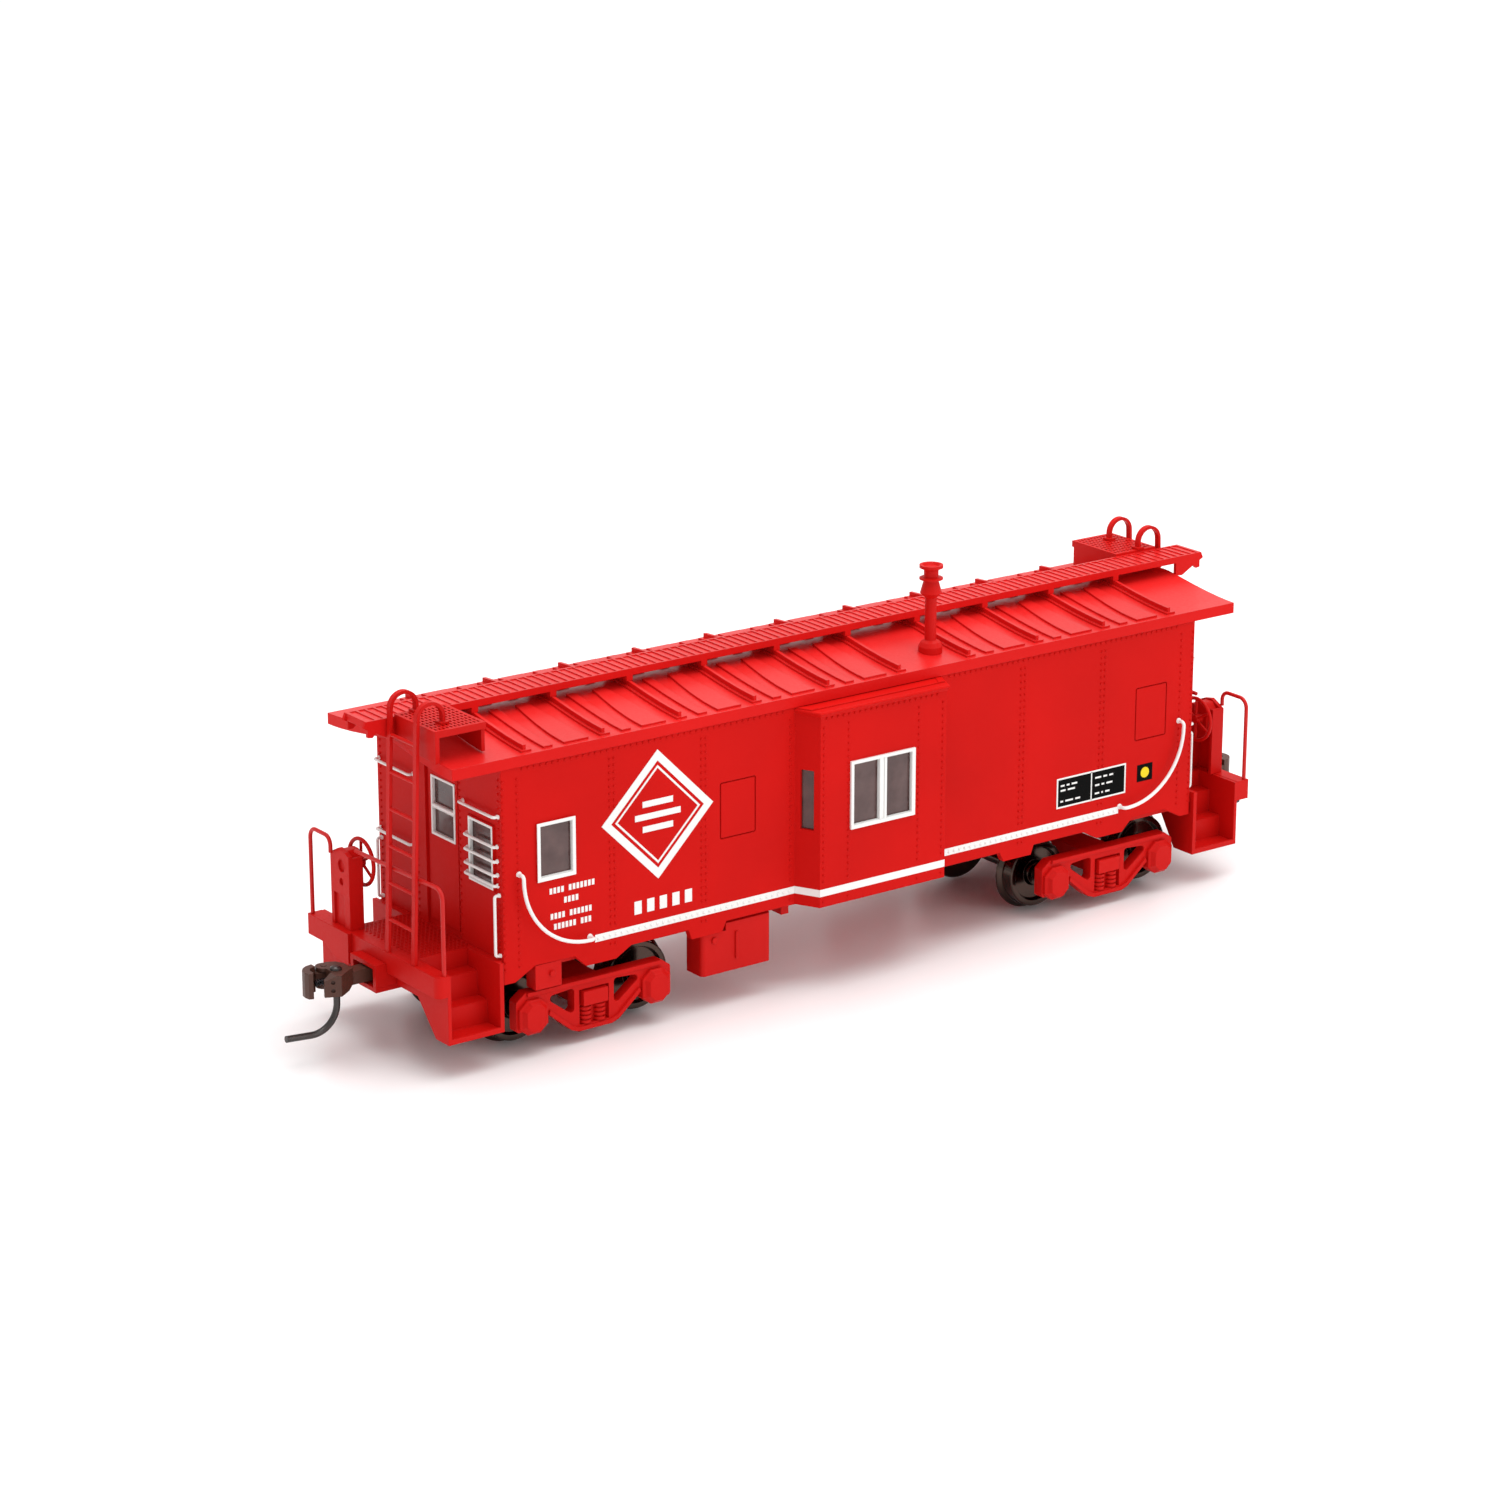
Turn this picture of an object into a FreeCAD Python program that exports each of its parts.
import FreeCAD, Part
import math
import os

# HO-scale bay-window caboose, 16.5 mm gauge. Millimetres.
# +X runs along the car, +Z is up, z = 0 is the level of the wheel flanges' lowest points and the
# origin is the middle of the car in plan. The car is the same after half a turn about Z, apart from
# the smokestack: each "A" piece is at -X, and its "B" twin is the same piece turned by half a turn.

# ---- driving dimensions ----
BODY_HALF_LENGTH = 58.2
BODY_HALF_WIDTH = 14.9
BODY_TOP = 39.5
WALL = 1.0
BAY_X = 0.2
BAY_HALF_FRONT = 10.6
BAY_PANES = ((-5.0, -0.72), (0.5, 4.78))
BAY_HALF_BASE = 12.3
BAY_FRONT = 18.24
BAY_TOP = 39.45
SILL = 12.1

ROOF_HALF_LENGTH = 65.4
ROOF_HALF_WIDTH = 15.05
ROOF_CROWN = 43.1
ROOF_THICKNESS = 1.5
RIB_PITCH = 12.0
RIB_COUNT = 10
RIB_HALF_WIDTH = 0.24
RIB_HEIGHT = 0.9
PANEL_RISE = 0.28

WALK_HALF_LENGTH = 70.2
WALK_HALF_WIDTH = 2.65
WALK_TOP = 45.05
WALK_THICKNESS = 0.95
SLAT_PITCH = 1.27
SLAT_WIDTH = 0.32
SLAT_RISE = 0.14

ROOF_PLATFORM_INNER_X = 58.5
ROOF_PLATFORM_OUTER_X = 66.05
ROOF_PLATFORM_OUTER_Y = 12.3
ROOF_PLATFORM_TOP = 45.4
ROOF_PLATFORM_RIM = 0.9
GRATE_COLUMNS = 12
GRATE_ROWS = 9

STACK_X = 14.6
STACK_Y = -9.8

FLOOR_BOTTOM = 11.6
FLOOR_TOP = 12.8
DECK_BOTTOM = 12.5
DECK_TOP = 14.1
END_SILL_INNER = 67.0
END_SILL_OUTER = 68.5
END_SILL_TOP = 14.15
SILL_BLOCK_OUTER = 69.1
STEP_HALF_WIDTH = 15.45
STEP_INNER_X = 59.2
STEP_OUTER_X = 66.5
PLATE = 0.5

LADDER_YS = (-9.5, -3.2)
RUNG_PITCH = 4.9
RUNG_FIRST = 18.6
RUNG_COUNT = 6

TRUCK_X = 43.84
AXLE_OFFSET = 9.6
AXLE_Z = 5.45
FLANGE_RADIUS = 5.45
TREAD_RADIUS = 4.8
WHEEL_FACE = 10.04
WHEEL_WIDTH = 2.8
AXLE_RADIUS = 1.0
BOLSTER_TOP = 8.4
BOLSTER_HALF_LENGTH = 12.4
SIDEFRAME_OUTER = 14.0
JOURNAL_FACE = 15.16

POCKET_BOTTOM = 9.4
POCKET_TOP = 12.5
POCKET_HALF_WIDTH = 3.1
POCKET_FRONT = 70.1
POCKET_BACK = 61.5
COUPLER_PIVOT = 64.6
HEAD_BOTTOM = 9.4
HEAD_TOP = 12.2
KNUCKLE_U = 74.9
KNUCKLE_V = 1.75
PIN_U = 74.3
PIN_V = -0.3

RUNNING_GAP = 0.06
FIT_GAP = 0.02
PANE_SETBACK = 0.45
WIRE = 0.28

V = FreeCAD.Vector
UP = V(0, 0, 1)
PLANES = {
    "xy": lambda p, h: V(p[0], p[1], h),
    "xz": lambda p, h: V(p[0], h, p[1]),
    "yz": lambda p, h: V(h, p[0], p[1]),
}


# ---- shapes ----
def box(x0, x1, y0, y1, z0, z1):
    return Part.makeBox(x1 - x0, y1 - y0, z1 - z0, V(x0, y0, z0))


def end_box(u0, u1, v0, v1, z0, z1):
    """A box at the A end, from u0 to u1 out from the middle of the car."""
    return box(-u1, -u0, v0, v1, z0, z1)


def prism(points, plane, low, high):
    """A closed outline in one plane, extruded from low to high on the third axis."""
    place = PLANES[plane]
    corners = [place(p, low) for p in points]
    face = Part.Face(Part.makePolygon(corners + corners[:1]))
    return face.extrude(place((0, 0), high) - place((0, 0), low))


def end_prism(points, low, high):
    """An outline in plan, given as (u, v) at the A end, extruded from z low to z high."""
    return prism([(-u, v) for u, v in points], "xy", low, high)


def bar(start, end, radius):
    a, b = V(*start), V(*end)
    return Part.makeCylinder(radius, (b - a).Length, a, b - a)


def turned(profile, centre, axis):
    """A solid of revolution from (radius, distance along the axis) points."""
    corners = [V(r, 0, h) for r, h in profile]
    face = Part.Face(Part.makePolygon(corners + corners[:1]))
    solid = face.revolve(V(0, 0, 0), UP, 360)
    solid.Placement = FreeCAD.Placement(V(*centre), FreeCAD.Rotation(UP, axis))
    return solid


def corner_arc(before, corner, after, bend):
    """The tangent arc that rounds a corner, as (start, end, edge)."""
    back = (before - corner).normalize()
    ahead = (after - corner).normalize()
    half = back.getAngle(ahead) / 2
    start = corner + back * (bend / math.tan(half))
    end = corner + ahead * (bend / math.tan(half))
    middle = corner + (back + ahead).normalize() * (bend / math.sin(half) - bend)
    return start, end, Part.Arc(start, middle, end).toShape()


def rounded_prism(points, bend, plane, low, high):
    """A closed outline with every corner rounded, extruded from low to high on the third axis."""
    place = PLANES[plane]
    corners = [place(p, low) for p in points]
    arcs = []
    for i, corner in enumerate(corners):
        arcs.append(corner_arc(corners[i - 1], corner, corners[(i + 1) % len(corners)], bend))
    edges = []
    for i, (start, end, arc) in enumerate(arcs):
        edges.append(arc)
        edges.append(Part.LineSegment(end, arcs[(i + 1) % len(arcs)][0]).toShape())
    face = Part.Face(Part.Wire(edges))
    return face.extrude(place((0, 0), high) - place((0, 0), low))


def bent_wire(points, bends, radius=WIRE):
    """A round wire along straight runs, with one tangent arc at each inner point."""
    corners = [V(*p) for p in points]
    edges = []
    here = corners[0]
    for before, corner, after, bend in zip(corners, corners[1:], corners[2:], bends):
        start, end, arc = corner_arc(before, corner, after, bend)
        edges.append(Part.LineSegment(here, start).toShape())
        edges.append(arc)
        here = end
    edges.append(Part.LineSegment(here, corners[-1]).toShape())
    ring = Part.Wire(Part.makeCircle(radius, corners[0], corners[1] - corners[0]))
    return Part.Wire(edges).makePipeShell([ring], True, False, 2)


def half_turn(shape):
    twin = shape.copy()
    twin.rotate(V(0, 0, 0), UP, 180)
    return twin


def mirror_y(shape):
    return shape.mirror(V(0, 0, 0), V(0, 1, 0))


def fused(shapes):
    return shapes[0].multiFuse(shapes[1:]).removeSplitter()


def group(shapes):
    return Part.makeCompound(shapes)


def both_ends(shape):
    return group([shape, half_turn(shape)])


# ---- roof ----
def roof_height(y):
    """Height of the roof's top surface: a raised crown that flattens towards the eaves."""
    eave = 41.04
    share = min(abs(y) / ROOF_HALF_WIDTH, 1.0)
    return eave + (ROOF_CROWN - eave) * (1 - share) ** 1.55


def roof_line(half_width, lift):
    """The roof's arch across the car, from -half_width to half_width, raised by lift."""
    steps = 12
    line = []
    for i in range(steps + 1):
        y = half_width * (2 * i / steps - 1)
        rounded = roof_height(math.hypot(y, 1.6))
        line.append(V(0, y, rounded + lift))
    curve = Part.BSplineCurve()
    curve.interpolate(line)
    return curve.toShape()


def roof_band(half_width, low, high, x0, x1):
    """A strip that follows the arch, between two lifts above the roof's surface."""
    lower = roof_line(half_width, low)
    upper = roof_line(half_width, high)
    sides = [
        Part.LineSegment(upper.Vertexes[-1].Point, lower.Vertexes[-1].Point).toShape(),
        Part.LineSegment(lower.Vertexes[0].Point, upper.Vertexes[0].Point).toShape(),
    ]
    face = Part.Face(Part.Wire(Part.__sortEdges__([lower, upper] + sides)))
    face.translate(V(x0, 0, 0))
    return face.extrude(V(x1 - x0, 0, 0))


def rib_xs():
    return [RIB_PITCH * (i - (RIB_COUNT - 1) / 2) for i in range(RIB_COUNT)]


def roof_panels(x):
    """The near side's two raised panels after the rib at x: a narrow strip and one that widens downwards."""
    strip = roof_band(14.3, -0.2, PANEL_RISE, x + 2.7, x + 4.1)
    near_half = box(x, x + RIB_PITCH, -15, -1.5, 38, 45)
    wide = roof_band(14.3, -0.2, PANEL_RISE, x + 5.8, x + 9.6)
    left, right = [], []
    for y in (15.0, 11.0, 7.5, 4.5, 1.5):
        pinch = ((15.0 - y) / 13.5) ** 2
        left.append((x + 5.8 + pinch, -y))
        right.append((x + 9.6 - pinch, -y))
    return [strip.common(near_half), wide.common(prism(left + right[::-1], "xy", 38, 45))]


def roof():
    slab = roof_band(ROOF_HALF_WIDTH, -ROOF_THICKNESS, 0, -ROOF_HALF_LENGTH, ROOF_HALF_LENGTH)
    pieces = [slab]
    for x in rib_xs():
        pieces.append(roof_band(14.0, -0.2, RIB_HEIGHT, x - RIB_HALF_WIDTH, x + RIB_HALF_WIDTH))
        foot = roof_band(14.3, -0.2, PANEL_RISE, x - 0.65, x + 0.9)
        near_foot = foot.common(box(x - 2, x + 2, -15, 0, 38, 45))
        pieces += [near_foot, half_turn(near_foot)]
    for x in rib_xs()[:-1]:
        panels = roof_panels(x)
        pieces += [half_turn(panel) for panel in panels]
        if not x < STACK_X < x + RIB_PITCH:
            pieces += panels
    return fused(pieces)


def roofwalk():
    """The running board: a plate with thin raised cross slats, on a saddle over each rib."""
    low = WALK_TOP - WALK_THICKNESS
    deck = box(-WALK_HALF_LENGTH, WALK_HALF_LENGTH, -WALK_HALF_WIDTH, WALK_HALF_WIDTH, low, WALK_TOP)
    hollow = box(-WALK_HALF_LENGTH + 0.5, WALK_HALF_LENGTH - 0.5, -2.2, 2.2, low, low + 0.4)
    count = int(2 * (WALK_HALF_LENGTH - 0.8) / SLAT_PITCH)
    half_bed = (SLAT_PITCH - SLAT_WIDTH) / 2
    beds = []
    for i in range(count + 1):
        x = SLAT_PITCH * (i - count / 2)
        beds.append(box(x - half_bed, x + half_bed, -2.45, 2.3, WALK_TOP - SLAT_RISE, WALK_TOP))
    pieces = [deck.cut(hollow).cut(group(beds))]
    for x in rib_xs():
        saddle = box(x - 0.5, x + 0.5, -2.65, 2.65, ROOF_CROWN, low + 0.4)
        pieces.append(saddle.cut(roof_band(14.0, -0.2, RIB_HEIGHT, x - 0.6, x + 0.6)))
    for y in (-WALK_HALF_WIDTH, WALK_HALF_WIDTH - PLATE):
        bracket = walk_bracket(y)
        pieces += [bracket, bracket.mirror(V(0, 0, 0), V(1, 0, 0))]
    return fused(pieces)


def walk_bracket(y):
    """One side's end bracket: a foot on the roof's end and an arm to the walk's tip."""
    low = WALK_TOP - WALK_THICKNESS
    outline = [
        (65.4, low), (65.4, 42.3), (66.6, 42.15), (68.7, 43.3), (69.3, 42.8), (69.95, 42.9),
        (69.95, 43.9), (70.57, 44.2), (WALK_HALF_LENGTH, WALK_TOP), (WALK_HALF_LENGTH - 0.3, low),
    ]
    return prism(outline, "xz", y, y + PLATE)


def roof_platform():
    """The A end's grated stand beside the roofwalk, on two upright plates."""
    u0, u1 = ROOF_PLATFORM_INNER_X, ROOF_PLATFORM_OUTER_X
    v0, v1 = -ROOF_PLATFORM_OUTER_Y, -WALK_HALF_WIDTH
    top = ROOF_PLATFORM_TOP
    frame = end_box(u0, u1, v0, v1, top - ROOF_PLATFORM_RIM, top)
    frame = frame.cut(end_box(u0 + 0.4, u1 - 0.4, v0 + 0.4, v1 - 0.4, top - ROOF_PLATFORM_RIM, top - 0.35))
    gaps = []
    for i in range(GRATE_COLUMNS):
        u = u0 + 0.35 + (u1 - u0 - 0.7) * (i + 0.5) / GRATE_COLUMNS
        for j in range(GRATE_ROWS):
            v = v0 + 0.4 + (v1 - v0 - 0.8) * (j + 0.5) / GRATE_ROWS
            gaps.append(end_box(u - 0.15, u + 0.15, v - 0.32, v + 0.32, top - 0.4, top))
    inner_plate = end_box(u0, u0 + PLATE, v0 + 0.4, v1 - 0.4, 40.5, top - 0.35)
    under = roof_band(ROOF_HALF_WIDTH, -6, PANEL_RISE, -ROOF_HALF_LENGTH, ROOF_HALF_LENGTH)
    outer = [(v0, top - 0.35), (v0, 41.2), (-7.0, 41.5), (v1, 42.0), (v1, top - 0.35)]
    outer_plate = prism(outer, "yz", -u1, -ROOF_HALF_LENGTH)
    return fused([frame.cut(group(gaps)), inner_plate.cut(under), outer_plate])


def smokestack():
    profile = [
        (0, 41.0), (1.65, 41.0), (1.65, 42.2), (1.3, 42.8), (0.8, 43.1), (0.8, 49.0), (1.5, 49.7),
        (1.05, 51.3), (1.05, 51.55), (1.62, 51.6), (1.62, 51.8), (1.0, 51.95), (1.0, 52.9),
        (1.62, 53.2), (1.62, 53.6), (1.25, 53.6), (1.0, 53.3), (0, 53.3),
    ]
    stack = turned(profile, (STACK_X, STACK_Y, 0), UP)
    return stack.cut(roof_band(ROOF_HALF_WIDTH, -6, 0, STACK_X - 3, STACK_X + 3))


# ---- body ----
def body_outline():
    """The walls' outer outline in plan, with a bay on each side."""
    near = [
        (-BODY_HALF_LENGTH, -BODY_HALF_WIDTH), (BAY_X - BAY_HALF_BASE, -BODY_HALF_WIDTH),
        (BAY_X - BAY_HALF_FRONT, -BAY_FRONT), (BAY_X + BAY_HALF_FRONT, -BAY_FRONT),
        (BAY_X + BAY_HALF_BASE, -BODY_HALF_WIDTH), (BODY_HALF_LENGTH, -BODY_HALF_WIDTH),
    ]
    return near + [(-x, -y) for x, y in near]


def sill_cut():
    """What is cut away below one half of a side wall, from the middle of the car outwards."""
    edge = [
        (0, SILL), (23.3, SILL), (24.0, 10.7), (28.9, 10.7), (29.4, SILL), (38.5, 12.05),
        (40.9, 10.7), (45.6, 10.7), (47.4, 12.4), (53.4, 12.5), (56.5, 10.86),
        (BODY_HALF_LENGTH + 1, 10.86), (BODY_HALF_LENGTH + 1, 0), (0, 0),
    ]
    return prism(edge, "xz", -25, 25)


def slanted(start, end, share0, share1, out, into, z0, z1):
    """A block on a slanted wall that runs from start to end in plan, right-hand side outside."""
    run = V(end[0] - start[0], end[1] - start[1], 0)
    side = V(run.y, -run.x, 0).normalize()
    corners = []
    for share, depth in ((share0, out), (share1, out), (share1, -into), (share0, -into)):
        corners.append((start[0] + run.x * share + side.x * depth, start[1] + run.y * share + side.y * depth))
    return prism(corners, "xy", z0, z1)


def bay_slants():
    """The near bay's two slanted walls in plan, each as (start, end), outside on the right."""
    left = ((BAY_X - BAY_HALF_BASE, -BODY_HALF_WIDTH), (BAY_X - BAY_HALF_FRONT, -BAY_FRONT))
    right = ((BAY_X + BAY_HALF_FRONT, -BAY_FRONT), (BAY_X + BAY_HALF_BASE, -BODY_HALF_WIDTH))
    return [(left, 0.22, 0.75), (right, 0.25, 0.78)]


def near_openings():
    """Window openings in the near side wall and the near bay."""
    cuts = [box(-52.55, -47.65, -16, -13, 24.2, 31.1)]
    for x0, x1 in BAY_PANES:
        cuts.append(box(x0, x1, -19, -17, 22.75, 31.25))
    for (start, end), share0, share1 in bay_slants():
        cuts.append(slanted(start, end, share0, share1, 1, 2, 22.8, 31.1))
    return cuts


def near_frames():
    """Raised frames round the near side's window and the near bay's pair of windows."""
    y = -BODY_HALF_WIDTH
    side = box(-53.0, -47.2, y - 0.25, y + 0.1, 23.7, 31.5)
    bay = box(-5.42, 5.2, -BAY_FRONT - 0.25, -BAY_FRONT + 0.1, 22.25, 31.65)
    return [side, bay]


def near_grooves():
    """A thin groove round each of the near side's two blanked windows."""
    y = -BODY_HALF_WIDTH
    grooves = []
    for x0, x1, z0, z1 in ((-24.3, -18.5, 23.6, 31.4), (47.5, 53.3, 23.7, 31.5)):
        outer = [(x0, z0), (x1, z0), (x1, z1), (x0, z1)]
        a0, a1, b0, b1 = x0 + 0.17, x1 - 0.17, z0 + 0.17, z1 - 0.17
        inner = [(a0, b0), (a1, b0), (a1, b1), (a0, b1)]
        ring = rounded_prism(outer, 0.3, "xz", y - 0.1, y + 0.22)
        grooves.append(ring.cut(rounded_prism(inner, 0.15, "xz", y - 0.2, y + 0.3)))
    return grooves


def end_openings():
    """The A end's door recess, door windows and side window."""
    wall = BODY_HALF_LENGTH
    return [
        end_box(wall - 0.4, wall + 1, -4.9, 3.2, DECK_TOP, 37.4),
        end_box(wall - 2, wall, -3.5, 1.6, 30.9, 34.5),
        end_box(wall - 2, wall, -3.5, 1.6, 27.0, 30.4),
        end_box(wall - 2, wall + 1, -12.85, -7.85, 23.5, 31.4),
    ]


def end_frames():
    wall = BODY_HALF_LENGTH
    window = end_box(wall - 0.1, wall + 0.25, -13.35, -7.35, 23.0, 31.9)
    leaf = end_box(wall - 0.5, wall - 0.2, -4.3, 2.6, 15.0, 36.6)
    return [window, leaf]


def bay_plan(base, front, z):
    """The near bay's outline in plan, grown by base at the wall and by front at its face."""
    wall = -BODY_HALF_WIDTH + 0.2
    corners = [
        V(BAY_X - BAY_HALF_BASE - base, wall, z),
        V(BAY_X - BAY_HALF_FRONT - front * 0.7, -BAY_FRONT - front, z),
        V(BAY_X + BAY_HALF_FRONT + front * 0.7, -BAY_FRONT - front, z),
        V(BAY_X + BAY_HALF_BASE + base, wall, z),
    ]
    return Part.makePolygon(corners + corners[:1])


def bay_cap():
    """The near bay's rim, which flares outwards from the wall, and its top, which slopes back in."""
    levels = ((0.02, 0.0, 38.5), (0.3, 0.42, 39.1), (0.25, 0.3, 39.3), (-0.5, -0.9, BAY_TOP))
    rings = [bay_plan(base, front, z) for base, front, z in levels]
    return fused([Part.makeLoft(list(pair), True, True) for pair in zip(rings, rings[1:])])


def body_shell():
    outline = body_outline()
    corners = [V(x, y, 0) for x, y in outline]
    plan = Part.Face(Part.makePolygon(corners + corners[:1]))
    inner = plan.makeOffset2D(-WALL, 2)
    walls = plan.cut(inner)
    walls.translate(V(0, 0, 10))
    shell = walls.extrude(V(0, 0, BODY_TOP - 10))
    sill = sill_cut()
    shell = shell.cut(sill).cut(half_turn(sill))
    pieces = [shell]
    gable = end_box(BODY_HALF_LENGTH - WALL, BODY_HALF_LENGTH, -13.9, 13.9, BODY_TOP, ROOF_CROWN)
    roof_above = roof_band(ROOF_HALF_WIDTH, -ROOF_THICKNESS, 6, -ROOF_HALF_LENGTH, ROOF_HALF_LENGTH)
    pieces.append(gable.cut(roof_above))
    cover = prism([
        (BAY_X - BAY_HALF_BASE + 0.5, -13.9), (BAY_X - BAY_HALF_FRONT + 0.4, -BAY_FRONT + 0.9),
        (BAY_X + BAY_HALF_FRONT - 0.4, -BAY_FRONT + 0.9), (BAY_X + BAY_HALF_BASE - 0.5, -13.9),
    ], "xy", 38.3, BAY_TOP)
    pieces += [bay_cap(), cover] + near_frames()
    twins = [half_turn(piece) for piece in pieces[1:]]
    shell = fused(pieces + twins)
    shell = shell.cut(roof_above)
    cuts = near_openings() + near_grooves() + end_openings()
    cuts.append(end_box(BODY_HALF_LENGTH - 1.5, BODY_HALF_LENGTH + 1, -13.9, 13.9, 5, DECK_BOTTOM))
    cuts.append(box(-20, 20, -25, -17.0, 39.3, 50))
    shell = shell.cut(group(cuts)).cut(half_turn(group(cuts)))
    frames = [frame.cut(group(end_openings()[1:])) for frame in end_frames()]
    return fused([shell] + frames + [half_turn(frame) for frame in frames])


def pane(x0, x1, y0, y1, z0, z1):
    """A glazing block that fills an opening, a little smaller all round in plan and height."""
    return box(x0 + FIT_GAP, x1 - FIT_GAP, y0, y1, z0 + FIT_GAP, z1 - FIT_GAP)


def side_window_glass():
    inner = -BODY_HALF_WIDTH + WALL
    sheet = box(-53.2, -46.9, inner, inner + 0.5, 23.5, 31.8)
    block = pane(-52.55, -47.65, -BODY_HALF_WIDTH - 0.25 + PANE_SETBACK, inner, 24.2, 31.1)
    return both_ends(fused([sheet, block]))


def bay_front_glass():
    inner = -BAY_FRONT + WALL
    pieces = [box(-5.6, 5.6, inner, inner + 0.4, 22.2, 31.8)]
    for x0, x1 in BAY_PANES:
        pieces.append(pane(x0, x1, -BAY_FRONT - 0.25 + PANE_SETBACK, inner, 22.75, 31.25))
    return both_ends(fused(pieces))


def bay_side_glass():
    panes = []
    for (start, end), share0, share1 in bay_slants():
        sheet = slanted(start, end, share0 - 0.07, share1 + 0.07, -WALL, WALL + 0.35, 22.4, 31.4)
        block = slanted(start, end, share0 + 0.006, share1 - 0.006, -PANE_SETBACK, WALL, 22.82, 31.08)
        panes.append(fused([sheet, block]))
    return group(panes + [half_turn(glass) for glass in panes])


def end_glass(sheet, openings, face):
    """A sheet behind the A end's wall, with a block in each opening set back from its frame's face."""
    inner = BODY_HALF_LENGTH - WALL
    y0, y1, z0, z1 = sheet
    pieces = [end_box(inner - 0.4, inner, y0, y1, z0, z1)]
    for a0, a1, b0, b1 in openings:
        low, high = b0 + FIT_GAP, b1 - FIT_GAP
        pieces.append(end_box(inner, face - PANE_SETBACK, a0 + FIT_GAP, a1 - FIT_GAP, low, high))
    return both_ends(fused(pieces))


def end_door_glass():
    windows = [(-3.5, 1.6, 30.9, 34.5), (-3.5, 1.6, 27.0, 30.4)]
    return end_glass((-4.0, 2.1, 26.5, 35.0), windows, BODY_HALF_LENGTH - 0.1)


def end_window_glass():
    return end_glass((-13.3, -7.3, 23.0, 31.9), [(-12.85, -7.85, 23.5, 31.4)], BODY_HALF_LENGTH + 0.25)


# ---- ends ----
def ladder():
    """Two flat stiles that lean inwards and hoop over onto the roof platform, with round rungs."""
    foot, top, high = 68.4, 67.2, 46.4
    thick, inner = 0.45, 62.95
    middle = (top + inner) / 2
    outside = (top - inner) / 2
    pieces = []
    for y in LADDER_YS:
        y0, y1 = y - 0.4, y + 0.4
        lean = [(-foot, END_SILL_TOP), (-foot + thick, END_SILL_TOP), (-top + thick, high), (-top, high)]
        pieces.append(prism(lean, "xz", y0, y1))
        hoop = Part.makeCylinder(outside, 0.8, V(-middle, y0, high), V(0, 1, 0))
        hoop = hoop.cut(Part.makeCylinder(outside - thick, 0.8, V(-middle, y0, high), V(0, 1, 0)))
        pieces.append(hoop.common(box(-80, -50, y0, y1, high, high + 5)))
        pieces.append(box(-inner - thick, -inner, y0, y1, ROOF_PLATFORM_TOP, high))
        top_deck = ROOF_PLATFORM_TOP
        pieces.append(box(-inner - 0.9, -inner + 0.4, y0 - 0.25, y1 + 0.25, top_deck, top_deck + 0.3))
    for i in range(RUNG_COUNT):
        z = RUNG_FIRST + RUNG_PITCH * i
        x = -foot + thick / 2 + (foot - top) * (z - END_SILL_TOP) / (high - END_SILL_TOP)
        pieces.append(bar((x, LADDER_YS[0], z), (x, LADDER_YS[1], z), 0.24))
    return fused(pieces)


def step_side():
    """The near side's step well at the A end: two plates, three treads and their risers."""
    near = -STEP_HALF_WIDTH
    slope = [(-11.5, 4.78), (-7.4, 11.2), (-7.4, DECK_TOP)]
    inner_plate = prism([(near, DECK_TOP), (near, 4.78)] + slope, "yz", -STEP_INNER_X, -STEP_INNER_X + 0.6)
    outer = [(near, DECK_TOP), (near, 4.78), (-12.4, 4.78), (-8.2, 9.3), (-3.2, 9.3), (-3.2, DECK_TOP)]
    outer_plate = prism(outer, "yz", -END_SILL_INNER, -STEP_OUTER_X)
    treads = [(near, -12.0, 4.78, 5.3), (-12.4, -9.7, 7.9, 8.4), (-10.1, -7.4, 11.2, 11.7)]
    lip_and_risers = [(near, near + 0.4, 4.78, 5.5), (-12.4, -12.0, 5.3, 7.9), (-10.1, -9.7, 8.4, 11.2),
                      (-7.8, -7.4, 11.7, DECK_TOP)]
    pieces = [inner_plate, outer_plate]
    for v0, v1, z0, z1 in treads + lip_and_risers:
        pieces.append(end_box(STEP_INNER_X, STEP_OUTER_X, v0, v1, z0, z1))
    return pieces


def end_platform():
    """The A end's deck, end sill and both step wells, in one moulding."""
    steps = step_side()
    deck = end_box(BODY_HALF_LENGTH, END_SILL_INNER, -7.8, 7.8, DECK_BOTTOM, DECK_TOP)
    ledge = end_box(BODY_HALF_LENGTH, STEP_INNER_X, -14.6, 14.6, DECK_BOTTOM, DECK_TOP)
    width = STEP_HALF_WIDTH
    sill = end_box(END_SILL_INNER, END_SILL_OUTER, -width, width, 11.3, END_SILL_TOP)
    corners = [edge for edge in sill.Edges if abs(edge.tangentAt(edge.FirstParameter).z) > 0.9]
    outer_corners = [edge for edge in corners if edge.Vertexes[0].X < -END_SILL_OUTER + 0.1]
    sill = sill.makeFillet(1.0, outer_corners)
    top = END_SILL_TOP
    block = prism([(5.3, top), (5.3, 10.0), (9.0, 10.0), (11.0, 11.3), (width, 11.3), (width, top)], "yz",
                  -SILL_BLOCK_OUTER, -END_SILL_OUTER + 1.0)
    block = block.cut(end_box(END_SILL_OUTER - 2, END_SILL_OUTER, 0, 13.0, 5, 11.3))
    platform = fused([deck, ledge, sill, block] + steps + [mirror_y(piece) for piece in steps])
    gap = POCKET_HALF_WIDTH + 0.05
    return platform.cut(end_box(STEP_OUTER_X - 1, END_SILL_OUTER + 1, -gap, gap, 5, DECK_BOTTOM))


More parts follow.
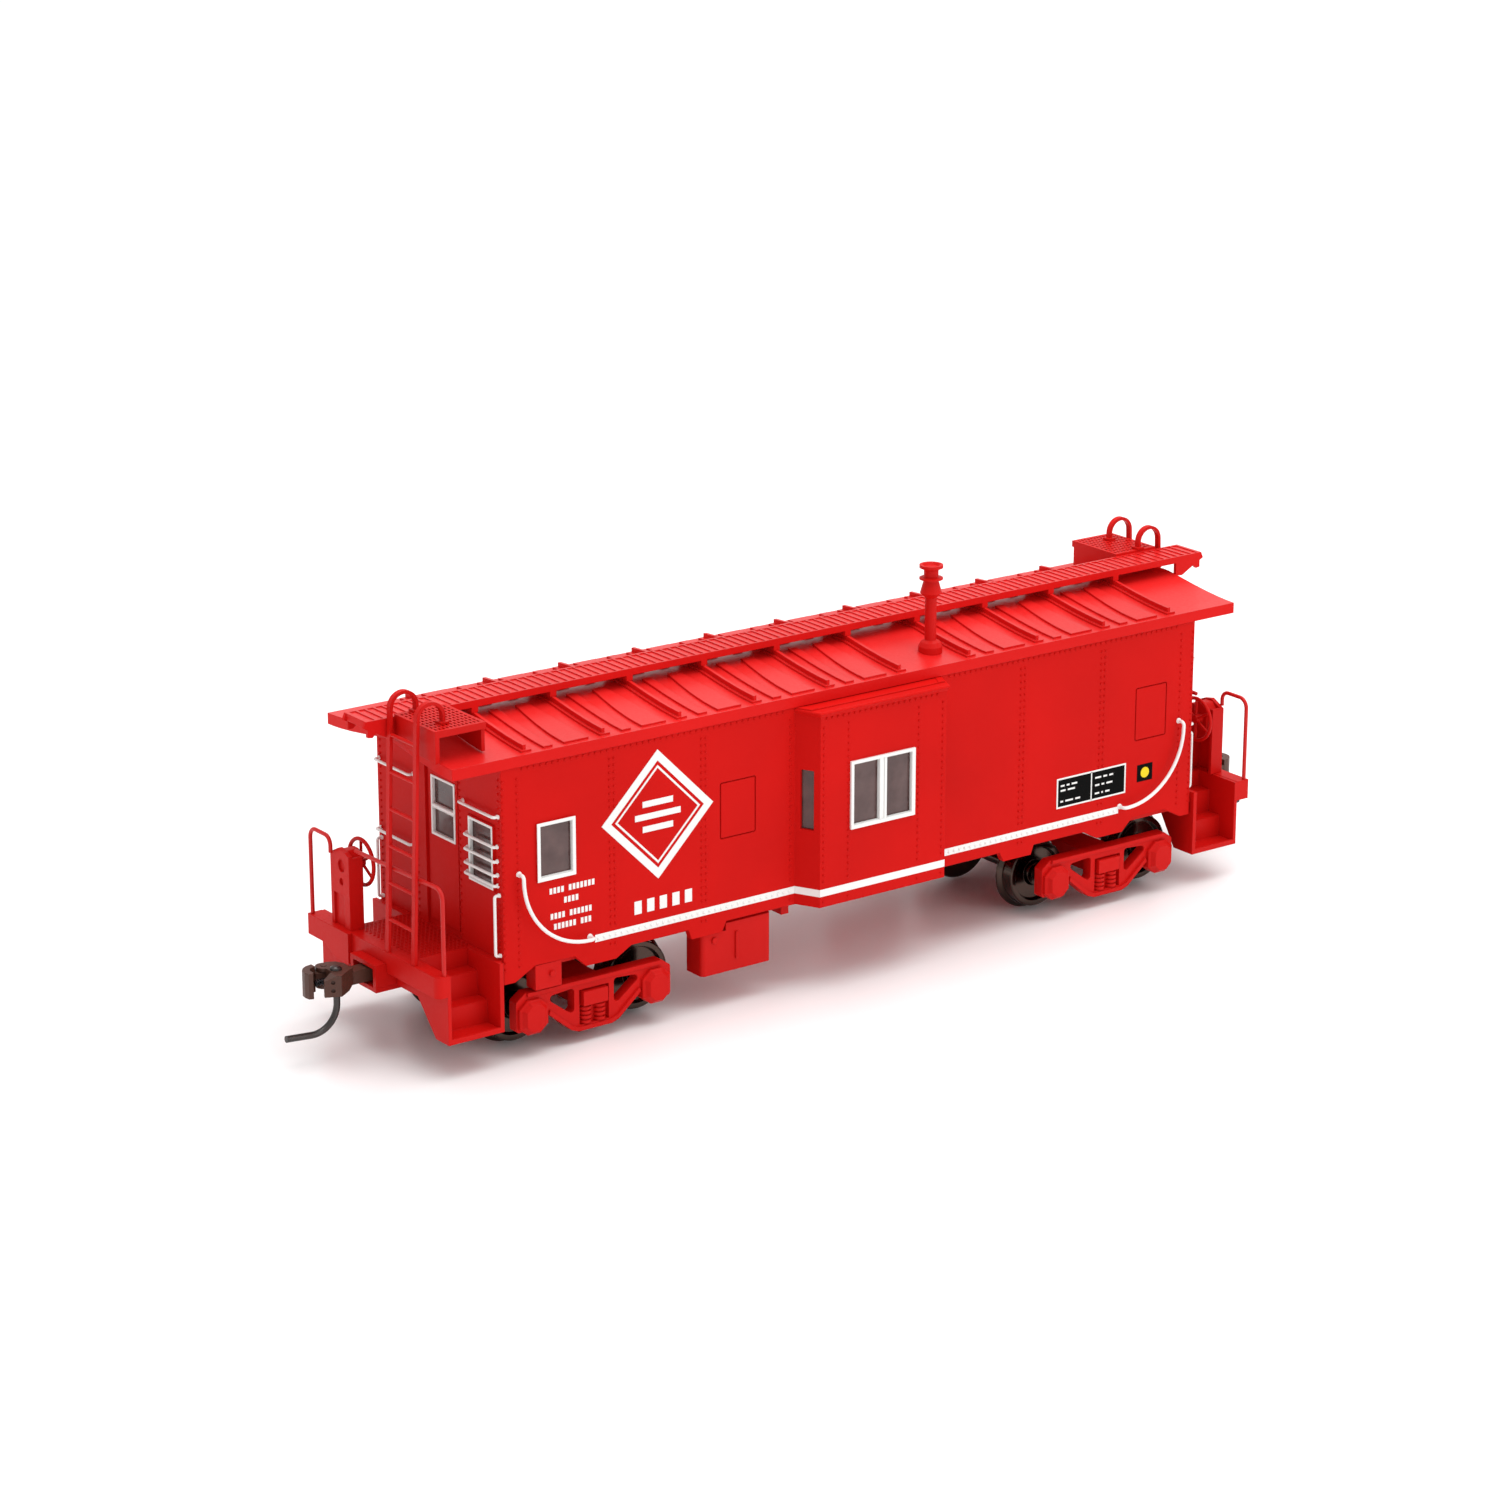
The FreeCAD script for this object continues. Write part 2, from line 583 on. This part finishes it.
def brake_stand():
    """The A end's brake stand: a channel on the end sill, with a gear case between it and the wheel."""
    outer, front = -68.2, -67.6
    foot = END_SILL_TOP
    outline = [(6.1, foot), (6.1, 24.2), (7.0, 24.6), (8.6, 24.9), (10.0, 24.2), (10.7, 23.8), (10.7, foot)]
    face = prism(outline, "yz", outer, front)
    recess = box(outer - 1, outer + 0.3, 7.4, 10.0, foot, 18.6)
    eyes = []
    for y, z, radius in ((7.95, 22.6, 0.85), (8.05, 20.4, 0.5)):
        eyes.append(bar((outer - 1, y, z), (outer + 0.3, y, z), radius))
    face = face.cut(group([recess] + eyes))
    sides = [box(front, -66.1, y, y + PLATE, foot, 23.9) for y in (6.1, 10.2)]
    case = rounded_prism([(6.8, 19.4), (6.7, 23.6), (7.6, 24.6), (9.0, 24.6), (9.9, 23.6), (9.7, 19.4)],
                         0.6, "yz", front, -65.7)
    return fused([face, case] + sides)


def brake_wheel():
    """The A end's brake wheel, facing inwards, on a short pin in the gear case."""
    x, y, z = -64.8, 8.6, 22.3
    rim = Part.makeTorus(3.08, 0.27, V(x, y, z), V(1, 0, 0))
    hub = bar((-65.7, y, z), (x + 0.35, y, z), 0.62)
    pieces = [rim, hub]
    for i in range(6):
        angle = math.radians(60 * i + 30)
        pieces.append(bar((x, y, z), (x, y + 3.08 * math.cos(angle), z + 3.08 * math.sin(angle)), 0.2))
    return fused(pieces)


def end_railing():
    """The A end's two rails: a post and hoop beside the brake stand, and a rail behind the ladder."""
    foot = END_SILL_TOP
    far = bent_wire(
        [(-68.6, 15.0, foot), (-68.6, 15.0, 26.1), (-68.6, 9.9, 26.1), (-68.6, 9.9, 24.0)], (1.4, 1.2))
    near = bent_wire([(-67.2, -15.0, foot), (-67.2, -15.0, 25.6), (-67.2, 5.9, 25.0)], (1.4,))
    return group([far, near])


def side_grab_irons():
    """Curved hand grabs at the ends of both sides, each a quarter of a circle on two legs."""
    wall, out = -BODY_HALF_WIDTH, -16.05
    top, foot, reach, end = 25.3, 14.6, 55.7, 45.0
    path = [
        (-reach, wall, top), (-reach, out, top), (-reach, out, foot),
        (-end, out, foot), (-end, wall, foot),
    ]
    left = bent_wire(path, (0.5, 10.1, 0.5), 0.25)
    right = left.mirror(V(0, 0, 0), V(1, 0, 0))
    return group([left, right, half_turn(left), half_turn(right)])


def wall_grab(points, out):
    """A straight grab iron on the A end's wall, between two (y, z) points."""
    wall = -BODY_HALF_LENGTH
    (y0, z0), (y1, z1) = points
    path = [(wall, y0, z0), (wall - out, y0, z0), (wall - out, y1, z1), (wall, y1, z1)]
    return bent_wire(path, (0.3, 0.3), 0.2)


def end_grab_irons():
    runs = [((-6.0, 33.3), (-14.2, 33.3)), ((6.0, 33.7), (14.4, 33.7)), ((6.0, 24.1), (14.4, 24.1)),
            ((-14.2, 14.7), (-14.2, 22.8)), ((14.2, 14.7), (14.2, 22.8))]
    return group([wall_grab(run, 0.75) for run in runs])


def window_guard():
    """Four bars across the A end's side window, on two thin uprights."""
    wall = -BODY_HALF_LENGTH
    pieces = []
    for z in (24.0, 25.4, 27.25, 29.2):
        path = [(wall, -6.9, z), (wall - 0.55, -6.9, z), (wall - 0.55, -13.9, z), (wall, -13.9, z)]
        pieces.append(bent_wire(path, (0.26, 0.26), 0.2))
    return pieces


def window_guards():
    bars = window_guard()
    return group(bars + [half_turn(piece) for piece in bars])


# ---- below the floor ----
def truck_screw_holes():
    hole = bar((-TRUCK_X, 0, 8), (-TRUCK_X, 0, 12.1), 1.0 + FIT_GAP)
    return both_ends(hole)


def floor_plate():
    inner = BODY_HALF_LENGTH - WALL
    floor = box(-inner, inner, -13.9, 13.9, FLOOR_BOTTOM, FLOOR_TOP)
    return floor.cut(truck_screw_holes())


def underframe():
    """Centre sill, cross bearers, truck pads and a coupler pocket at each end, below the floor."""
    inner = BODY_HALF_LENGTH - WALL
    sill = box(-inner, inner, -2.8, 2.8, 9.2, FLOOR_BOTTOM)
    bearers = [box(x - 0.6, x + 0.6, -13.3, 13.3, 10.3, FLOOR_BOTTOM) for x in (-12.5, 12.5)]
    width = POCKET_HALF_WIDTH
    arm = end_box(inner, POCKET_FRONT, -width, width, POCKET_BOTTOM, POCKET_TOP)
    tail = end_box(inner, POCKET_BACK, -width, width, POCKET_BOTTOM, POCKET_TOP)
    hollow = end_box(POCKET_BACK + 0.9, POCKET_FRONT, -2.4, 2.4, POCKET_BOTTOM, 11.9)
    post = bar((-COUPLER_PIVOT, 0, POCKET_BOTTOM), (-COUPLER_PIVOT, 0, 12.2), AXLE_RADIUS)
    bore = bar((-COUPLER_PIVOT, 0, POCKET_BOTTOM), (-COUPLER_PIVOT, 0, 11.8), 0.7 + FIT_GAP)
    pocket = fused([arm.cut(hollow), tail, post]).cut(bore)
    pad = bar((-TRUCK_X, 0, BOLSTER_TOP + 0.1), (-TRUCK_X, 0, FLOOR_BOTTOM), 3.0)
    frame = fused([sill, pocket, half_turn(pocket), pad, half_turn(pad)] + bearers)
    return frame.cut(truck_screw_holes())


def floor_weight():
    return box(-50, 50, -10.5, 10.5, FLOOR_TOP, FLOOR_TOP + 2.0)


def tool_boxes():
    """A box below the floor on each side, with a lid line, a hasp and an upright handle."""
    case = box(-27.0, -15.7, -14.5, -10.6, 4.8, FLOOR_BOTTOM)
    case = case.makeFillet(0.6, [edge for edge in case.Edges if edge.BoundBox.ZLength > 6])
    case = case.cut(box(-30, -23.1, -15, -13.8, 10.6, FLOOR_BOTTOM))
    handle = box(-21.6, -21.2, -14.75, -14.4, 6.4, 10.2)
    hasp = bar((-25.0, -14.4, 9.6), (-25.0, -14.75, 9.6), 0.45)
    return both_ends(fused([case, handle, hasp]))


def valve_boxes():
    skirt = box(-53.4, -49.4, -14.85, -13.9, 9.0, 12.4)
    block = box(-53.4, -49.4, -13.9, -12.7, 9.0, FLOOR_BOTTOM)
    knob = bar((-50.9, -14.8, 10.9), (-50.9, -15.15, 10.9), 0.4)
    return both_ends(fused([skirt, block, knob]))


def brake_cylinder():
    body = turned([(0, 0), (1.9, 0), (1.9, 5.0), (1.2, 5.6), (0.5, 5.7), (0.5, 7.4), (0, 7.4)],
                  (3.0, -6.2, 9.5), V(1, 0, 0))
    foot = box(4.0, 7.0, -7.2, -5.2, 9.5, FLOOR_BOTTOM)
    return fused([body, foot])


def air_reservoir():
    half = 4.4
    body = turned([(0, -half), (1.4, -half), (1.9, -half + 0.6), (1.9, half - 0.6), (1.4, half), (0, half)],
                  (-2.0, 6.2, 9.5), V(1, 0, 0))
    feet = [box(x - 0.5, x + 0.5, 5.2, 7.2, 9.5, FLOOR_BOTTOM) for x in (-4.5, 0.5)]
    return fused([body] + feet)


def truck_screws():
    profile = [(0, 3.95), (1.6, 3.95), (1.9, 4.3), (1.9, 4.85), (1.0, 4.85), (1.0, 12.0), (0, 12.0)]
    return both_ends(turned(profile, (-TRUCK_X, 0, 0), UP))


def coupler_lid():
    width = POCKET_HALF_WIDTH
    lid = end_box(POCKET_BACK, POCKET_FRONT, -width, width, POCKET_BOTTOM - 0.6, POCKET_BOTTOM)
    hole = bar((-COUPLER_PIVOT, 0, 8), (-COUPLER_PIVOT, 0, 10), 0.7 + FIT_GAP)
    return lid.cut(hole)


def coupler_screws():
    low = POCKET_BOTTOM - 0.6
    profile = [(0, low - 0.45), (1.3, low - 0.45), (1.3, low), (0.7, low), (0.7, 11.7), (0, 11.7)]
    return both_ends(turned(profile, (-COUPLER_PIVOT, 0, 0), UP))


# ---- trucks ----
def truck_bolster():
    """The A truck's bolster, which joins its two sideframes and turns on the truck screw."""
    half = BOLSTER_HALF_LENGTH
    beam = box(-TRUCK_X - 2.4, -TRUCK_X + 2.4, -half, half, 5.0, 7.9)
    plate = bar((-TRUCK_X, 0, 7.9), (-TRUCK_X, 0, BOLSTER_TOP), 3.4)
    bore = bar((-TRUCK_X, 0, 4), (-TRUCK_X, 0, 9), 1.0 + RUNNING_GAP)
    return fused([beam, plate]).cut(bore)


def octagon(x, z, half_width, half_height, y):
    cut = 0.38
    ring = []
    for sx, sz, flat in ((1, 1, True), (1, 1, False), (-1, 1, False), (-1, 1, True),
                         (-1, -1, True), (-1, -1, False), (1, -1, False), (1, -1, True)):
        across = half_width if flat else half_width * (1 - cut * 1.5)
        tall = half_height * (1 - cut * 1.2) if flat else half_height
        ring.append(V(x + sx * across, y, z + sz * tall))
    return Part.makePolygon(ring + ring[:1])


def journal_box(x):
    """A deep eight-sided box round one axle end, with a smaller tapered lid."""
    z = AXLE_Z - 0.15
    stages = [
        (2.2, 2.35, -BOLSTER_HALF_LENGTH), (2.2, 2.35, -14.4),
        (1.85, 2.15, -14.6), (1.45, 1.8, -JOURNAL_FACE),
    ]
    wires = [octagon(x, z, half_width, half_height, y) for half_width, half_height, y in stages]
    return fused([Part.makeLoft(list(pair), True, True) for pair in zip(wires, wires[1:])])


def spring_group(x, outer):
    """Two stacks of coils below the bolster's end, each round a plain core."""
    pieces = []
    middle = outer + 0.6
    for side in (-1.1, 1.1):
        pieces.append(bar((x + side, middle, 2.2), (x + side, middle, 5.1), 0.6))
        for i in range(4):
            z = 2.45 + 0.62 * i
            pieces.append(bar((x + side, middle, z), (x + side, middle, z + 0.38), 0.85))
    return pieces


def sideframe():
    """The near sideframe of the A truck, with journal boxes, spring group and cone bearings."""
    inner, outer, middle = -BOLSTER_HALF_LENGTH, -SIDEFRAME_OUTER, -TRUCK_X
    right = [(10.6, 8.65), (12.05, 7.6), (12.05, 3.4), (7.9, 3.4), (7.4, 5.2), (3.7, 2.05), (2.6, 1.65)]
    outline = right + [(-x, z) for x, z in reversed(right)]
    plate = rounded_prism([(x + middle, z) for x, z in outline], 0.45, "xz", outer, inner)
    window = [(7.7, 7.35), (3.1, 7.7), (3.1, 3.9)]
    cuts = [box(middle - 2.3, middle + 2.3, outer, outer + 0.6, 2.35, 7.2)]
    for side in (-1, 1):
        opening = [(side * x + middle, z) for x, z in window]
        cuts.append(rounded_prism(opening, 0.5, "xz", outer - 1, inner + 1))
    pieces = [plate.cut(group(cuts))]
    chord = [(7.2, 5.0), (3.7, 2.05), (2.6, 1.65)]
    inside = [(7.0, 5.6), (3.5, 2.6), (2.5, 2.2)]
    belly = chord + [(-x, z) for x, z in reversed(chord)] + [(-x, z) for x, z in inside]
    belly += list(reversed(inside))
    pieces.append(prism([(x + middle, z) for x, z in belly], "xz", outer - 0.3, outer + 0.1))
    pieces.append(box(middle - 10.4, middle + 10.4, outer - 0.3, outer + 0.1, 8.1, 8.65))
    pieces.append(box(middle - 1.9, middle + 1.9, outer - 0.45, outer + 0.9, 5.0, 6.95))
    pieces += spring_group(middle, outer)
    journals = [middle - AXLE_OFFSET, middle + AXLE_OFFSET]
    pieces += [journal_box(x) for x in journals]
    wide = 0.476 + RUNNING_GAP
    cones = [Part.makeCone(wide, 0.14, 0.65, V(x, inner, AXLE_Z), V(0, -1, 0)) for x in journals]
    return fused(pieces).cut(group(cones))


def axle(x):
    """A pin-point axle along Y at x."""
    half = [
        (AXLE_RADIUS, 0), (AXLE_RADIUS, WHEEL_FACE), (0.75, WHEEL_FACE),
        (0.75, 12.0), (0.09, 12.95), (0, 12.95),
    ]
    profile = half + [(r, -h) for r, h in reversed(half)]
    return turned(profile, (x, 0, AXLE_Z), V(0, 1, 0))


def wheels(x):
    """The two wheels of one axle, flanges inwards, with dished faces."""
    back, face = WHEEL_FACE - WHEEL_WIDTH, WHEEL_FACE
    profile = [
        (AXLE_RADIUS + FIT_GAP, back), (4.3, back), (5.25, back), (FLANGE_RADIUS, back + 0.25),
        (FLANGE_RADIUS, back + 0.5), (TREAD_RADIUS + 0.1, back + 0.95), (TREAD_RADIUS, back + 1.2),
        (TREAD_RADIUS - 0.08, face - 0.15), (TREAD_RADIUS - 0.25, face), (3.95, face), (3.7, face - 0.7),
        (1.9, face - 0.7), (1.6, face - 0.1), (AXLE_RADIUS + FIT_GAP, face - 0.1),
    ]
    pair = []
    for direction in (1, -1):
        pair.append(turned(profile, (x, 0, AXLE_Z), V(0, direction, 0)))
    return group(pair)


# ---- couplers ----
def coupler_head():
    """The A coupler's shank and head, with a guard arm and two lugs for the knuckle."""
    low, high = HEAD_BOTTOM, HEAD_TOP
    shank = end_box(COUPLER_PIVOT, 72.6, -1.0, 1.0, 9.8, 11.6)
    ring = bar((-COUPLER_PIVOT, 0, 9.8), (-COUPLER_PIVOT, 0, 11.6), 1.9)
    outline = [
        (72.3, -1.15), (73.3, -1.7), (75.0, -2.9), (77.0, -1.95), (76.8, -1.45), (75.2, -0.9), (75.2, 2.6),
        (73.9, 2.75), (72.9, 2.2), (72.3, 1.15),
    ]
    body = end_prism(outline, low, high)
    side = [
        (-72.2, 10.1), (-73.2, low), (-77.1, low), (-77.1, 11.6),
        (-76.6, 11.7), (-75.6, high), (-72.2, high),
    ]
    body = body.common(prism(side, "xz", -4, 4))
    lugs = bar((-KNUCKLE_U, KNUCKLE_V, low), (-KNUCKLE_U, KNUCKLE_V, high), 1.1)
    head = fused([shank, ring, body, lugs])
    slot = end_box(73.9, 78, 0.7, 4, low + 0.5, high - 0.5)
    cuts = [slot, bar((-COUPLER_PIVOT, 0, 9), (-COUPLER_PIVOT, 0, 13), AXLE_RADIUS + RUNNING_GAP),
            bar((-KNUCKLE_U, KNUCKLE_V, 8), (-KNUCKLE_U, KNUCKLE_V, 14), 0.35 + RUNNING_GAP),
            bar((-PIN_U, PIN_V, 8), (-PIN_U, PIN_V, 14), 0.45 + FIT_GAP)]
    for z in (10.25, 11.35):
        cuts.append(bar((-76.25, -2.97, z), (-75.86, -2.16, z), 0.27))
    return head.cut(group(cuts))


def knuckle():
    """The A coupler's knuckle: a tang on its hinge pin and a thin hooked nose."""
    low, high = HEAD_BOTTOM + 0.6, HEAD_TOP - 0.6
    tang = bar((-KNUCKLE_U, KNUCKLE_V, low), (-KNUCKLE_U, KNUCKLE_V, high), 0.92)
    arm = end_prism([(KNUCKLE_U, 2.65), (76.4, 2.6), (76.4, 1.2), (KNUCKLE_U, 0.85)], low, high)
    nose = end_prism([
        (76.2, 2.65), (77.1, 2.5), (77.8, 2.05), (78.3, 1.4), (78.45, 0.5), (78.3, -0.3), (77.75, -0.5),
        (77.5, -0.1), (77.5, 0.7), (77.15, 1.35), (76.2, 1.7),
    ], 8.95, 12.4)
    pin_bottom = (-KNUCKLE_U, KNUCKLE_V, HEAD_BOTTOM + 0.05)
    hinge_pin = bar(pin_bottom, (-KNUCKLE_U, KNUCKLE_V, HEAD_TOP + 0.05), 0.35)
    return fused([tang, arm, nose, hinge_pin])


def knuckle_spring():
    """The A coupler's knuckle spring, a short coil between the head and the knuckle."""
    turns = 5
    pieces = [bar((-75.2, 0.1, 10.8), (-77.2, 0.1, 10.8), 0.28)]
    for i in range(turns):
        x = -75.3 - 0.4 * i
        pieces.append(bar((x, 0.1, 10.8), (x - 0.2, 0.1, 10.8), 0.42))
    return fused(pieces)


def trip_pin():
    """The A coupler's curved steel pin below the head, with a domed cap on top."""
    stem = bent_wire([(-PIN_U, PIN_V, HEAD_TOP), (-PIN_U, PIN_V, 3.75), (-81.9, PIN_V, 4.35)], (3.6,), 0.45)
    profile = [(0, -0.02), (0.8, -0.02), (0.75, 0.25), (0.45, 0.45), (0, 0.45)]
    cap = turned(profile, (-PIN_U, PIN_V, HEAD_TOP + 0.02), UP)
    return fused([stem, cap])


# ---- nodes ----
def build_nodes():
    nodes = {
        "body_shell": body_shell(),
        "roof": roof(),
        "roofwalk": roofwalk(),
        "smokestack": smokestack(),
        "side_window_glass": side_window_glass(),
        "bay_front_glass": bay_front_glass(),
        "bay_side_glass": bay_side_glass(),
        "end_door_glass": end_door_glass(),
        "end_window_glass": end_window_glass(),
        "side_grab_irons": side_grab_irons(),
        "window_guards": window_guards(),
        "floor_plate": floor_plate(),
        "underframe": underframe(),
        "floor_weight": floor_weight(),
        "tool_boxes": tool_boxes(),
        "valve_boxes": valve_boxes(),
        "brake_cylinder": brake_cylinder(),
        "air_reservoir": air_reservoir(),
        "truck_screws": truck_screws(),
        "coupler_screws": coupler_screws(),
    }
    near_frame = sideframe()
    paired = {
        "roof_platform": roof_platform(),
        "ladder": ladder(),
        "end_platform": end_platform(),
        "brake_stand": brake_stand(),
        "brake_wheel": brake_wheel(),
        "end_railing": end_railing(),
        "end_grab_irons": end_grab_irons(),
        "coupler_lid": coupler_lid(),
        "truck_bolster": truck_bolster(),
        "truck_sideframe_left": near_frame,
        "truck_sideframe_right": mirror_y(near_frame),
        "coupler_head": coupler_head(),
        "knuckle": knuckle(),
        "knuckle_spring": knuckle_spring(),
        "trip_pin": trip_pin(),
    }
    for name, shape in paired.items():
        nodes[name + "_a"] = shape
        nodes[name + "_b"] = half_turn(shape)
    axle_xs = [side * TRUCK_X + offset for side in (-1, 1) for offset in (-AXLE_OFFSET, AXLE_OFFSET)]
    for number, x in enumerate(axle_xs, 1):
        nodes["axle_" + str(number)] = axle(x)
        nodes["wheels_" + str(number)] = wheels(x)
    return nodes


os.makedirs("parts", exist_ok=True)
for node, solid in build_nodes().items():
    solid.exportStep("parts/" + node + ".step")
